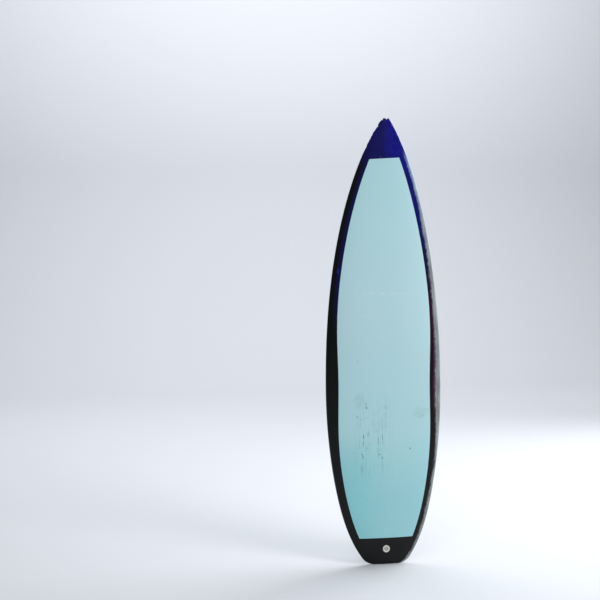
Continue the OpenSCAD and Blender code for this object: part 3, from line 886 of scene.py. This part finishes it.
def steel_finish():
    """Bare steel with fine turned lines and a warm tarnish."""
    f = Finish("stainless_steel")
    lines = f.noise(f.stretched(1, 1, 6), 500.0, 3.0)
    tarnish = f.noise(f.place, 90.0, 3.0)
    paint = f.blend(tarnish.rise(0.5, 0.8) * 0.5, linear((196, 198, 202)), linear((150, 146, 140)))
    return f.shade(Base_Color=paint, Metallic=1.0, Roughness=0.24 + lines * 0.14,
                   Normal=f.bump(lines, 0.1, 0.0002))


def fin_finish():
    """Blue see-through laminate over woven cloth, with darker layers and light scuffs."""
    f = Finish("clear_blue_fin_laminate")
    turn = 2 * math.pi / 0.0018
    cloth = (f.y * turn).math("SINE") * (f.z * turn).math("SINE") * 0.5 + 0.5
    layers = f.noise(f.stretched(8, 1, 1), 26.0, 3.0)
    paint = f.blend(cloth * 0.35, linear((64, 118, 136)), linear((108, 166, 180)))
    paint = f.blend(layers.rise(0.4, 0.7) * 0.5, paint, linear((44, 92, 116)))
    scuff = f.noise(f.place, 210.0, 4.0, 0.7).rise(0.62, 0.7)
    paint = f.blend(scuff * 0.3, paint, linear((180, 204, 208)))
    normal = f.bump(cloth, 0.05, 0.0002)
    return f.shade(Base_Color=paint, Roughness=0.18 + scuff * 0.25 + layers * 0.06, Normal=normal,
                   Coat_Weight=0.3, Coat_Roughness=0.08)


def stage_finish():
    """Plain pale paint for the floor and backdrop."""
    f = Finish("pale_floor")
    pale = linear((172, 175, 181))
    cloudy = f.blend(f.noise(f.place, 3.0, 2.0) * 0.15, pale, tuple(c * 0.96 for c in pale[:3]) + (1,))
    return f.shade(Base_Color=cloudy, Roughness=0.9)


# ---------------------------------------------------------------- build
dark, panel = skins()
dark.data.materials.append(DarkSkin().look())
panel.data.materials.append(DeckPanel().look())
fin_look = fin_finish()
for fin_name, fin_side in FINS.items():
    fin(fin_name, fin_side).data.materials.append(fin_look)

foam_look, wood_look = foam_finish(), wood_finish()
for blank_name, blank_node, blank_look in (("foam_blank_left", "foam_left", foam_look),
                                           ("foam_blank_right", "foam_right", foam_look),
                                           ("stringer_strip", "stringer", wood_look)):
    blank_piece(blank_name, blank_node).data.materials.append(blank_look)

nylon_look, steel_look = nylon_finish(), steel_finish()
hardware = {"plug": nylon_look, "leash_cup": nylon_look, "leash_pin": steel_look, "screw": steel_look}
for node_name, node_object in nodes.items():
    for start, look in hardware.items():
        if node_name.startswith(start):
            node_object.data.materials.clear()
            node_object.data.materials.append(look)


# ---------------------------------------------------------------- stage, light and camera, in metres
def sweep_stage():
    """A floor that curves up into a backdrop."""
    front, bend, radius, top, half = -9, 5, 2, 8, 12
    curve = [(bend + radius * math.sin(a), radius - radius * math.cos(a)) for a in
             [math.pi / 2 * k / 16 for k in range(17)]]
    profile = [(front, 0)] + curve + [(bend + radius, top)]
    n = len(profile)
    points = [(x / MM, y / MM, z / MM) for x in (-half, half) for y, z in profile]
    floor = mesh_object("floor_sweep", points, [(k, n + k, n + k + 1, k + 1) for k in range(n - 1)])
    floor.data.polygons.foreach_set("use_smooth", [True] * len(floor.data.polygons))
    floor.data.materials.append(stage_finish())


def area_light(name, place, aim, power, width, height, colour=(1, 1, 1), spread=180):
    """A soft box of light at a place, turned towards its aim and hidden from the camera."""
    data = bpy.data.lights.new(name, "AREA")
    data.spread = math.radians(spread)
    data.shape, data.size, data.size_y = "RECTANGLE", width, height
    data.energy, data.color = power, colour
    lamp = bpy.data.objects.new(name, data)
    lamp.location = place
    lamp.visible_camera = False
    lamp.rotation_euler = (Vector(aim) - Vector(place)).to_track_quat("-Z", "Y").to_euler()
    bpy.context.scene.collection.objects.link(lamp)


def studio_lights():
    """Key and rail light from the right, fill from the left, soft light from above and a pale room."""
    area_light("key_right", (2.7, -2.7, 4.0), (0, 0, 0.95), 152, 1.8, 1.8, (1.0, 0.985, 0.95))
    area_light("rail_right", (2.9, 1.5, 2.5), (0, 0, 1.3), 165, 3.0, 4.2, (0.97, 1.0, 0.99), 120)
    area_light("fill_high", (-1.6, -4.2, 4.6), (0, 0, 0.8), 80, 2.6, 2.6, (0.95, 0.98, 1.0))
    area_light("backdrop_soft", (0, 3.6, 5.5), (0, 6.0, 1.0), 500, 7.0, 2.0)
    area_light("top_soft", (0, -0.5, 5.2), (0, 0, 0), 60, 5.0, 5.0)
    world = bpy.data.worlds.new("pale_room")
    bpy.context.scene.world = world
    world.use_nodes = True
    world.node_tree.nodes["Background"].inputs[0].default_value = (0.86, 0.92, 1.0, 1)
    world.node_tree.nodes["Background"].inputs[1].default_value = 0.2
    bpy.context.scene.view_settings.view_transform = "Standard"


def front_camera():
    """A level camera in front of the deck, turned a little to one side, with the board right of centre."""
    turn, roll = math.radians(9), math.radians(0.4)
    distance, board_y, eye_height = 5, 0.03, 1.448
    data = bpy.data.cameras.new("front_camera")
    data.lens, data.sensor_width = 70.5, 36
    data.shift_x, data.shift_y = -0.1375, -0.132
    camera = bpy.data.objects.new("front_camera", data)
    camera.location = (-distance * math.sin(turn), board_y - distance * math.cos(turn), eye_height)
    camera.rotation_euler = (math.pi / 2, roll, -turn)
    bpy.context.scene.collection.objects.link(camera)
    bpy.context.scene.camera = camera


sweep_stage()
studio_lights()
front_camera()
